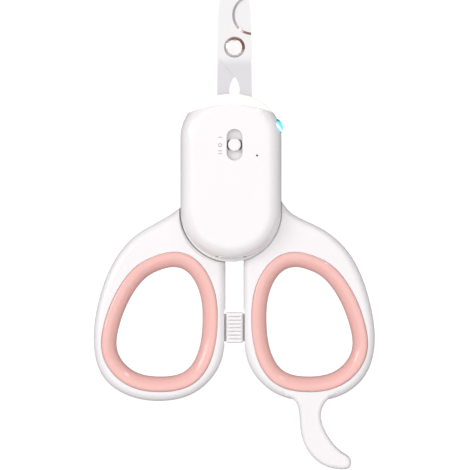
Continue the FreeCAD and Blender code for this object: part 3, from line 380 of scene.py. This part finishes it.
def foam_tape(name, colour):
    """Open foam tape: matt, pitted by cells about a third of a millimetre across."""
    material, tree, shader = start_material(name, colour, Roughness=0.9)
    place = add_node(tree, "ShaderNodeTexCoord").outputs["Object"]
    cells = add_node(
        tree, "ShaderNodeTexVoronoi", {"Scale": per_metre(0.35)}, {"Vector": place},
    ).outputs["Distance"]
    vary_colour(tree, shader, cells, shade_of(colour, 0.85), shade_of(colour, 1.0))
    add_bump(tree, shader, cells, 0.05)
    return material


def laminate_foil(name, colour):
    """Aluminium laminate pouch: bright, softly crinkled where it wraps the cell."""
    material, tree, shader = start_material(name, colour, Metallic=1.0)
    creases = noise(tree, 3.0, 5.0)
    vary_colour(tree, shader, creases, shade_of(colour, 0.9), shade_of(colour, 1.05))
    vary_roughness(tree, shader, noise(tree, 0.6), 0.22, 0.38)
    add_bump(tree, shader, creases, 0.12)
    return material


def soft_pink_tpe(name, colour):
    """Overmoulded thermoplastic rubber: satin, a little translucent, with a fine matt tool grain."""
    material, tree, shader = start_material(
        name, colour, IOR=IOR_TPE, Subsurface_Weight=0.25, Subsurface_Scale=1.2 * MM,
        Sheen_Weight=0.08, Sheen_Roughness=0.4,
    )
    shader.inputs["Subsurface Radius"].default_value = (1.0, 0.45, 0.40)
    vary_colour(tree, shader, noise(tree, 9.0), shade_of(colour, 0.97), shade_of(colour, 1.02))
    vary_roughness(tree, shader, noise(tree, 3.0, 4.0), 0.10, 0.16)
    # The real grain is about 0.05 mm; it is drawn four times as coarse, so that it shows.
    add_bump(tree, shader, noise(tree, 0.2, 2.0), 0.0015)
    return material


def ground_blade_steel(name, colour, lapped, painted_reflection_brown):
    """Stainless blade: bright lapped flats round the rivet, plain sheet below them. The bevel, the
    dish and the edges carry a painted near-white reflection, with a painted brown reflection spot
    near the notch."""
    material, tree, shader = start_material(name, colour, Metallic=1.0)
    facing = add_node(tree, "ShaderNodeTexCoord").outputs["Normal"]
    tilt = add_node(tree, "ShaderNodeSeparateXYZ", links={"Vector": facing}).outputs["Z"]
    # 0 on the flats, 1 on the bevel, the dish and the edges.
    painted_reflection_faces = ramp(tree, calculate(tree, "ABSOLUTE", tilt), 0.98, 0.90)
    low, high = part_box("pivot_rivet")
    rivet = (low + high) / 2
    # The lapping stops a few millimetres below the rivet, where the blades part.
    height = add_node(
        tree, "ShaderNodeSeparateXYZ", links={"Vector": place_from(tree, rivet)},
    ).outputs["Y"]
    lapping = ramp(tree, height, -5.4 * MM, -2.2 * MM, kind="SMOOTHSTEP")
    flats = blend(tree, lapping, (*colour, 1.0), (*lapped, 1.0))
    # A painted brown reflection spot lies between the rivet and the notch, on the notch's side, with
    # a ragged edge.
    reflection_spot_middle = rivet + Vector((2.2, 2.5, 0.0)) * MM
    ragged = calculate(tree, "MULTIPLY", noise(tree, 1.0, 2.0), 1.6 * MM)
    from_reflection_spot = calculate(tree, "ADD", length_of(tree, place_from(tree, reflection_spot_middle, (1, 1, 0))), ragged)
    painted_reflection_spot = ramp(tree, from_reflection_spot, 3.9 * MM, 4.7 * MM, 1.0, 0.0)
    # Painted reflection: the bevel, the dish and the edges are drawn near white, and brown in the
    # spot.
    faces = blend(tree, painted_reflection_spot, (*from_hex("#F6F4F2"), 1.0), (*painted_reflection_brown, 1.0))
    vary_colour(tree, shader, painted_reflection_faces, flats, faces)
    # Lapping lines about 0.1 mm apart and some 6 mm long.
    lines = noise(tree, 0.12, 3.0, (1.0, 0.02, 1.0))
    vary_roughness(tree, shader, lines, 0.16, 0.28)
    add_bump(tree, shader, lines, 0.0006)
    return material


def turned_rivet_steel(name, colour):
    """Polished rivet: turned rings about 0.15 mm apart round the pivot."""
    material, tree, shader = start_material(name, colour, Metallic=1.0)
    low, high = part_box("pivot_rivet")
    middle = (low + high) / 2
    # The wave's rings are 20 to a unit of scale.
    rings = add_node(
        tree, "ShaderNodeTexWave",
        {"Scale": per_metre(0.15) / 20, "Distortion": 0.3},
        {"Vector": place_from(tree, (middle.x, middle.y, 0.0))},
        wave_type="RINGS", rings_direction="Z",
    ).outputs["Fac"]
    vary_colour(tree, shader, noise(tree, 1.5), shade_of(colour, 0.9), shade_of(colour, 1.05))
    vary_roughness(tree, shader, rings, 0.08, 0.16)
    add_bump(tree, shader, rings, 0.0006)
    return material


def pad_printed_ink(name, colour):
    """Pad-printed ink: thin, satin, with slightly uneven cover."""
    material, tree, shader = start_material(name, colour, IOR=1.5)
    cover = noise(tree, 0.3, 3.0)
    vary_colour(tree, shader, cover, shade_of(colour, 0.85), shade_of(colour, 1.25))
    vary_roughness(tree, shader, cover, 0.4, 0.55)
    return material


def matt_floor(name, colour, glow):
    """Matt grey board that lights the clipper from below, shown as plain white to the camera."""
    material, tree, shader = start_material(name, colour, Roughness=0.8)
    vary_colour(tree, shader, noise(tree, 60.0), shade_of(colour, 0.99), shade_of(colour, 1.0))
    seen = add_node(tree, "ShaderNodeLightPath").outputs["Is Camera Ray"]
    white = add_node(
        tree, "ShaderNodeEmission", {"Color": (1.0, 1.0, 1.0, 1.0), "Strength": glow},
    )
    both = add_node(
        tree, "ShaderNodeMixShader",
        links={0: seen, 1: shader.outputs["BSDF"], 2: white.outputs["Emission"]},
    )
    # From below, the board is left out, so that the clipper's back can be seen.
    under = add_node(tree, "ShaderNodeNewGeometry").outputs["Backfacing"]
    clear = add_node(tree, "ShaderNodeBsdfTransparent")
    one_sided = add_node(
        tree, "ShaderNodeMixShader",
        links={0: under, 1: both.outputs["Shader"], 2: clear.outputs["BSDF"]},
    )
    surface = tree.nodes["Material Output"].inputs["Surface"]
    tree.links.new(one_sided.outputs["Shader"], surface)
    return material


# ---------------------------------------------------------------- settings in the sidebar

def colour_setting(name, description, code):
    """A colour property with its default from an sRGB code."""
    return FloatVectorProperty(
        name=name, description=description, default=from_hex(code),
        subtype="COLOR", size=3, min=0.0, max=1.0,
    )


class ClipperFinishes(bpy.types.PropertyGroup):
    """Colours and glow of the clipper's materials."""
    shell: colour_setting("Shell", "Colour of the white ABS mouldings", "#F8F5F5")
    ring: colour_setting("Finger rings", "Colour of the soft rings", "#F8C3BB")
    lens: colour_setting("Light lens", "Colour of the frosted lens and its light", "#FFFBF2")
    window: colour_setting("Side window", "Colour of the ultraviolet lamp's window", "#6FDDEB")
    blade: colour_setting("Blades", "Colour of the plain steel below the rivet", "#B9B7B9")
    lapped: colour_setting("Lapped flats", "Colour of the lapped steel round the rivet", "#C8C7C7")
    # Colour of the painted brown reflection spot on the bevel, near the notch.
    painted_reflection_brown: colour_setting("Bevel tint", "Temper colour left by grinding", "#B98F82")
    ink: colour_setting("Marks", "Colour of the printed switch marks", "#B2B0B3")
    lens_glow: FloatProperty(
        name="Lens glow", description="Strength of the light lens", default=0.45, min=0.0,
    )
    window_glow: FloatProperty(
        name="Window glow", description="Strength of the side window", default=0.6, min=0.0,
    )


class ClipperMarks(bpy.types.PropertyGroup):
    """Sizes of the marks printed beside the switch."""
    offset: FloatProperty(
        name="Offset", description="From the knob's middle to the marks, to the left",
        default=4.0 * MM, unit="LENGTH",
    )
    dash: FloatProperty(
        name="Dash length", description="Length of the bars of I and II",
        default=1.1 * MM, unit="LENGTH",
    )
    stroke: FloatProperty(
        name="Stroke", description="Width of the printed lines", default=0.22 * MM, unit="LENGTH",
    )
    ring: FloatProperty(
        name="O diameter", description="Outer diameter of the O", default=1.1 * MM, unit="LENGTH",
    )
    ink: FloatProperty(
        name="Ink", description="Height of the ink above the cover",
        default=0.02 * MM, unit="LENGTH",
    )


class ClipperStudio(bpy.types.PropertyGroup):
    """Camera and light."""
    view_width: FloatProperty(
        name="View width", description="Width of the view at the clipper",
        default=131.6 * MM, unit="LENGTH",
    )
    view_x: FloatProperty(
        name="View middle X", description="Middle of the view, across",
        default=0.14 * MM, unit="LENGTH",
    )
    view_y: FloatProperty(
        name="View middle Y", description="Middle of the view, along the blades",
        default=-15.96 * MM, unit="LENGTH",
    )
    lens: FloatProperty(
        name="Lens", description="Focal length; a long one, so that upright edges stay upright",
        default=500.0, unit="CAMERA",
    )
    float_height: FloatProperty(
        name="Float height", description="Height of the clipper's back above the board",
        default=60 * MM, unit="LENGTH",
    )
    key: FloatProperty(
        name="Key", description="Power of the large softbox at the left", default=2.6, unit="POWER",
    )
    rim: FloatProperty(
        name="Rim", description="Power of the strip at the top right", default=0.6, unit="POWER",
    )
    top: FloatProperty(
        name="Top", description="Power of the overhead softbox", default=5.3, unit="POWER",
    )
    under: FloatProperty(
        name="Under", description="Power of the softbox below, for views of the back",
        default=4.5, unit="POWER",
    )
    walls: FloatProperty(
        name="Walls", description="Strength of the light from the studio's walls",
        default=0.50, min=0.0,
    )


# ---------------------------------------------------------------- operators

class CLIPPER_OT_stage(bpy.types.Operator):
    """Builds the floor, the softboxes and the camera"""
    bl_idname = "clipper.stage"
    bl_label = "Stage"

    def execute(self, context):
        studio = context.scene.clipper_studio
        self.add_floor(context, studio)
        self.add_lights(context, studio)
        self.add_camera(context, studio)
        context.scene.view_settings.view_transform = "Standard"
        return {"FINISHED"}

    def add_floor(self, context, studio):
        bm = bmesh.new()
        bmesh.ops.create_grid(bm, x_segments=4, y_segments=4, size=2.0)
        bmesh.ops.translate(bm, verts=bm.verts, vec=(0, 0, CAD_BOX[0].z - studio.float_height))
        mesh = bpy.data.meshes.new("floor")
        bm.to_mesh(mesh)
        bm.free()
        mesh.materials.append(matt_floor("matt_floor", from_hex("#8E8B8C"), FLOOR_GLOW))
        floor = bpy.data.objects.new("floor", mesh)
        context.scene.collection.objects.link(floor)

    def add_lights(self, context, studio):
        world = bpy.data.worlds.new("studio_walls")
        world.use_nodes = True
        walls = world.node_tree.nodes["Background"]
        walls.inputs["Color"].default_value = (*from_hex("#F0EEF2"), 1.0)
        walls.inputs["Strength"].default_value = studio.walls
        context.scene.world = world
        aim = Vector((0.0, 0.0, 8.0 * MM))
        boxes = (
            ("key_softbox", (-0.68, 0.22, 0.70), 0.30, 0.50, studio.key),
            ("overhead_softbox", (0.0, 0.0, 1.00), 1.20, 1.20, studio.top),
            ("rim_strip", (0.40, 0.55, 0.62), 0.05, 0.40, studio.rim),
            ("under_softbox", (0.0, 0.0, -0.90), 1.00, 1.00, studio.under),
        )
        for name, place, width, height, power in boxes:
            light = bpy.data.lights.new(name, "AREA")
            light.shape = "RECTANGLE"
            light.size, light.size_y = width, height
            light.energy = power
            box = bpy.data.objects.new(name, light)
            box.location = place
            box.rotation_euler = (aim - Vector(place)).to_track_quat("-Z", "Y").to_euler()
            box.visible_camera = False
            context.scene.collection.objects.link(box)

    def add_camera(self, context, studio):
        camera = bpy.data.cameras.new("camera")
        camera.lens = studio.lens
        distance = studio.view_width * camera.lens / camera.sensor_width
        camera.clip_end = 10 * distance
        stand = bpy.data.objects.new("camera", camera)
        middle_z = (CAD_BOX[0].z + CAD_BOX[1].z) / 2
        stand.location = (studio.view_x, studio.view_y, middle_z + distance)
        context.scene.collection.objects.link(stand)
        context.scene.camera = stand


class CLIPPER_OT_housing(bpy.types.Operator):
    """Finishes the housing's mouldings and screws"""
    bl_idname = "clipper.housing"
    bl_label = "Housing"

    def execute(self, context):
        shell = context.scene.clipper_finishes.shell
        finish_nodes(
            ("front_cover",),
            moulded_white_abs("polished_white_abs", tuple(shell), 0.16, 0.5, 0.001),
        )
        finish_nodes(("switch_knob",), knob_with_painted_slot_shade("knob_white_abs", tuple(shell)))
        finish_nodes(
            ("middle_frame", "rear_cover"),
            moulded_white_abs("satin_white_abs", tuple(shell), 0.36, 0.3, 0.004),
        )
        finish_nodes(
            ("cover_screws",),
            nickel_plated_steel("screw_steel", from_hex("#B9B6B0"), 0.28, 0.15, (1, 1, 0.2)),
        )
        return {"FINISHED"}


class CLIPPER_OT_lamps(bpy.types.Operator):
    """Finishes the lenses and the lamps behind them"""
    bl_idname = "clipper.lamps"
    bl_label = "Lamps"

    def execute(self, context):
        finishes = context.scene.clipper_finishes
        finish_nodes(
            ("light_lens",),
            frosted_polycarbonate(
                "frosted_polycarbonate", tuple(finishes.lens), finishes.lens_glow,
            ),
        )
        finish_nodes(
            ("uv_lens",),
            tinted_window("tinted_window", tuple(finishes.window), finishes.window_glow),
        )
        finish_nodes(("white_leds",), cast_epoxy("clear_lamp_epoxy", from_hex("#FFF4D2"), 1.0))
        finish_nodes(("charge_led",), cast_epoxy("unlit_lamp_epoxy", from_hex("#6E6A5E"), 0.0))
        finish_nodes(("uv_led",), cast_epoxy("violet_lamp_epoxy", from_hex("#8FB4FF"), 1.0))
        finish_nodes(("light_pipe",), polished_acrylic("smoked_acrylic", from_hex("#2E2C2C")))
        return {"FINISHED"}


class CLIPPER_OT_electronics(bpy.types.Operator):
    """Finishes the parts inside the housing"""
    bl_idname = "clipper.electronics"
    bl_label = "Electronics"

    def execute(self, context):
        finish_nodes(("switch_lever",), moulded_nylon("black_nylon", from_hex("#1C1C1E")))
        finish_nodes(
            ("slide_switch", "usb_socket"),
            nickel_plated_steel("nickel_plated_sheet", from_hex("#CFCBC2"), 0.24, 0.2, (1, 0.1, 1)),
        )
        finish_nodes(("circuit_board",), solder_mask_board("solder_mask", from_hex("#1E6B3A")))
        finish_nodes(("battery_pad",), foam_tape("foam_tape", from_hex("#E8E6DF")))
        finish_nodes(("battery",), laminate_foil("laminate_foil", from_hex("#C9CBD0")))
        return {"FINISHED"}


class CLIPPER_OT_handles(bpy.types.Operator):
    """Finishes the handles and the lock between them"""
    bl_idname = "clipper.handles"
    bl_label = "Handles"

    def execute(self, context):
        shell = context.scene.clipper_finishes.shell
        finish_nodes(
            ("left_handle", "right_handle", "lock_slider"),
            moulded_white_abs("satin_handle_abs", shade_of(shell, 0.99)[:3], 0.32, 0.35, 0.003),
        )
        return {"FINISHED"}


class CLIPPER_OT_finger_rings(bpy.types.Operator):
    """Finishes the soft rings"""
    bl_idname = "clipper.finger_rings"
    bl_label = "Finger rings"

    def execute(self, context):
        finish_nodes(
            ("left_finger_ring", "right_finger_ring"),
            soft_pink_tpe("soft_pink_tpe", tuple(context.scene.clipper_finishes.ring)),
        )
        return {"FINISHED"}


class CLIPPER_OT_blades(bpy.types.Operator):
    """Finishes the blades, the rivet and the opening spring"""
    bl_idname = "clipper.blades"
    bl_label = "Blades"

    def execute(self, context):
        finishes = context.scene.clipper_finishes
        finish_nodes(
            ("rear_blade", "front_blade"),
            ground_blade_steel(
                "ground_blade_steel", tuple(finishes.blade), tuple(finishes.lapped),
                tuple(finishes.painted_reflection_brown),
            ),
        )
        finish_nodes(
            ("pivot_rivet", "pivot_washer"),
            turned_rivet_steel("turned_rivet_steel", from_hex("#D0CECD")),
        )
        finish_nodes(
            ("opening_spring",),
            nickel_plated_steel("drawn_spring_wire", from_hex("#A8A6A2"), 0.30, 0.2, (1, 0.1, 1)),
        )
        return {"FINISHED"}


class CLIPPER_OT_marks(bpy.types.Operator):
    """Prints the marks beside the switch: I for low, O for off, II for high"""
    bl_idname = "clipper.marks"
    bl_label = "Switch marks"

    # Rows of marks along the knob's travel, from its middle.
    LOW_Y = 2.1 * MM
    OFF_Y = -0.1 * MM
    HIGH_YS = (-1.7 * MM, -2.5 * MM)

    def execute(self, context):
        marks = context.scene.clipper_marks
        low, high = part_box("switch_knob")
        knob = (low + high) / 2
        face_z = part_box("front_cover")[1].z
        bm = bmesh.new()
        for row in (self.LOW_Y, *self.HIGH_YS):
            self.add_dash(bm, marks, Vector((knob.x - marks.offset, knob.y + row, face_z)))
        self.add_ring(bm, marks, Vector((knob.x - marks.offset, knob.y + self.OFF_Y, face_z)))
        ink = pad_printed_ink("pad_printed_ink", tuple(context.scene.clipper_finishes.ink))
        add_piece("switch_marks", bm, ink, "right_half")
        return {"FINISHED"}

    def add_dash(self, bm, marks, place):
        bar = bmesh.ops.create_cube(bm, size=1.0)["verts"]
        bmesh.ops.scale(bm, verts=bar, vec=(marks.dash, marks.stroke, marks.ink))
        corners = [
            edge for edge in {e for v in bar for e in v.link_edges}
            if abs((edge.verts[0].co - edge.verts[1].co).z) > marks.ink / 2
        ]
        rounded = bmesh.ops.bevel(
            bm, geom=corners, offset=marks.stroke * 0.3, segments=3, profile=0.5,
            affect="EDGES", material=-1,
        )
        verts = set(rounded["verts"]) | {v for v in bar if v.is_valid}
        bmesh.ops.translate(bm, verts=list(verts), vec=place + Vector((0, 0, marks.ink / 2)))

    def add_ring(self, bm, marks, place):
        inner = marks.ring / 2 - marks.stroke
        outer = marks.ring / 2
        section = [
            bm.verts.new((inner, 0, 0)), bm.verts.new((outer, 0, 0)),
            bm.verts.new((outer, 0, marks.ink)), bm.verts.new((inner, 0, marks.ink)),
        ]
        edges = [bm.edges.new((section[i], section[i - 1])) for i in range(4)]
        bmesh.ops.spin(
            bm, geom=section + edges, cent=(0, 0, 0), axis=(0, 0, 1),
            angle=math.tau, steps=40, use_merge=True,
        )
        ring = [v for v in bm.verts if v.co.length < marks.ring]
        bmesh.ops.translate(bm, verts=ring, vec=place)


class CLIPPER_PT_panel(bpy.types.Panel):
    """Lists the clipper's steps and settings"""
    bl_idname = "CLIPPER_PT_panel"
    bl_label = "Claw clipper"
    bl_space_type = "VIEW_3D"
    bl_region_type = "UI"
    bl_category = "Clipper"

    def draw(self, context):
        for group in ("clipper_finishes", "clipper_marks", "clipper_studio"):
            settings = getattr(context.scene, group)
            for name in settings.bl_rna.properties.keys():
                if name not in ("name", "rna_type"):
                    self.layout.prop(settings, name)
        for operator in OPERATORS:
            self.layout.operator(operator.bl_idname)


GROUPS = {
    "clipper_finishes": ClipperFinishes,
    "clipper_marks": ClipperMarks,
    "clipper_studio": ClipperStudio,
}
OPERATORS = (
    CLIPPER_OT_stage,
    CLIPPER_OT_housing,
    CLIPPER_OT_lamps,
    CLIPPER_OT_electronics,
    CLIPPER_OT_handles,
    CLIPPER_OT_finger_rings,
    CLIPPER_OT_blades,
    CLIPPER_OT_marks,
)


def register():
    for group in GROUPS.values():
        bpy.utils.register_class(group)
    for operator in OPERATORS:
        bpy.utils.register_class(operator)
    bpy.utils.register_class(CLIPPER_PT_panel)
    for name, group in GROUPS.items():
        setattr(bpy.types.Scene, name, PointerProperty(type=group))


def unregister():
    for name in GROUPS:
        delattr(bpy.types.Scene, name)
    bpy.utils.unregister_class(CLIPPER_PT_panel)
    for operator in reversed(OPERATORS):
        bpy.utils.unregister_class(operator)
    for group in GROUPS.values():
        bpy.utils.unregister_class(group)


def main():
    register()
    bpy.ops.clipper.stage()
    bpy.ops.clipper.housing()
    bpy.ops.clipper.lamps()
    bpy.ops.clipper.electronics()
    bpy.ops.clipper.handles()
    bpy.ops.clipper.finger_rings()
    bpy.ops.clipper.blades()
    bpy.ops.clipper.marks()


if __name__ == "__main__":
    main()
